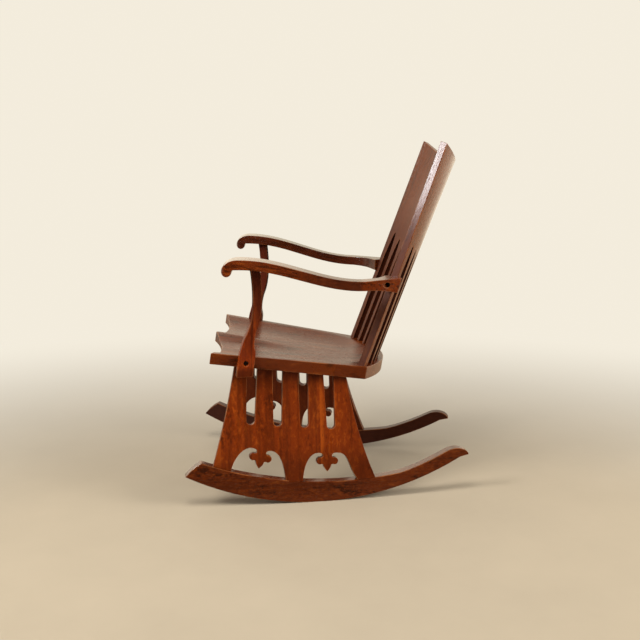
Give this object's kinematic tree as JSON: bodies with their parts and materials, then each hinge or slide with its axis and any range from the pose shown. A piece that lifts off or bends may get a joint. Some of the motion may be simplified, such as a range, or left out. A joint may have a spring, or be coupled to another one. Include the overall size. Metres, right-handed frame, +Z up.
{
  "type": "rocking chair",
  "caption": "Rocking chair with a saddled plank seat, bent back pierced by pointed slots, S-curved arms on sawn posts and trefoil-pierced side panels on curved rockers.",
  "frame": {"origin": "on the floor under the middle of the chair's bounding box", "axes": "+Z up, -Y the way the sitter faces, +X the sitter's left"},
  "size_m": [0.676, 0.7756, 0.962],
  "materials": {
    "seat_wood": "satin varnish over dark stain",
    "back_wood": "satin varnish over dark stain",
    "side_wood": "satin varnish over dark stain",
    "rocker_wood": "satin varnish over dark stain",
    "arm_wood": "satin varnish over dark stain",
    "dowel_wood": "bare",
    "screw_steel": "dark, aged"
  },
  "bodies": {
    "root": {"seat": "seat_wood", "back_panel": "back_wood", "side_panel_left": "side_wood", "side_panel_right": "side_wood", "rocker_left": "rocker_wood", "rocker_right": "rocker_wood", "arm_left": "arm_wood", "arm_right": "arm_wood", "arm_post_left": "arm_wood", "arm_post_right": "arm_wood", "finger_dowel_left_1": "dowel_wood", "finger_dowel_left_2": "dowel_wood", "finger_dowel_left_3": "dowel_wood", "finger_dowel_left_4": "dowel_wood", "finger_dowel_left_5": "dowel_wood", "finger_dowel_right_1": "dowel_wood", "finger_dowel_right_2": "dowel_wood", "finger_dowel_right_3": "dowel_wood", "finger_dowel_right_4": "dowel_wood", "finger_dowel_right_5": "dowel_wood", "foot_dowel_left_1": "dowel_wood", "foot_dowel_left_2": "dowel_wood", "foot_dowel_left_3": "dowel_wood", "foot_dowel_right_1": "dowel_wood", "foot_dowel_right_2": "dowel_wood", "foot_dowel_right_3": "dowel_wood", "arm_dowel_left": "dowel_wood", "arm_dowel_right": "dowel_wood", "post_screw_left": "screw_steel", "post_screw_right": "screw_steel", "arm_screw_left": "screw_steel", "arm_screw_right": "screw_steel"}
  },
  "joints": []
}
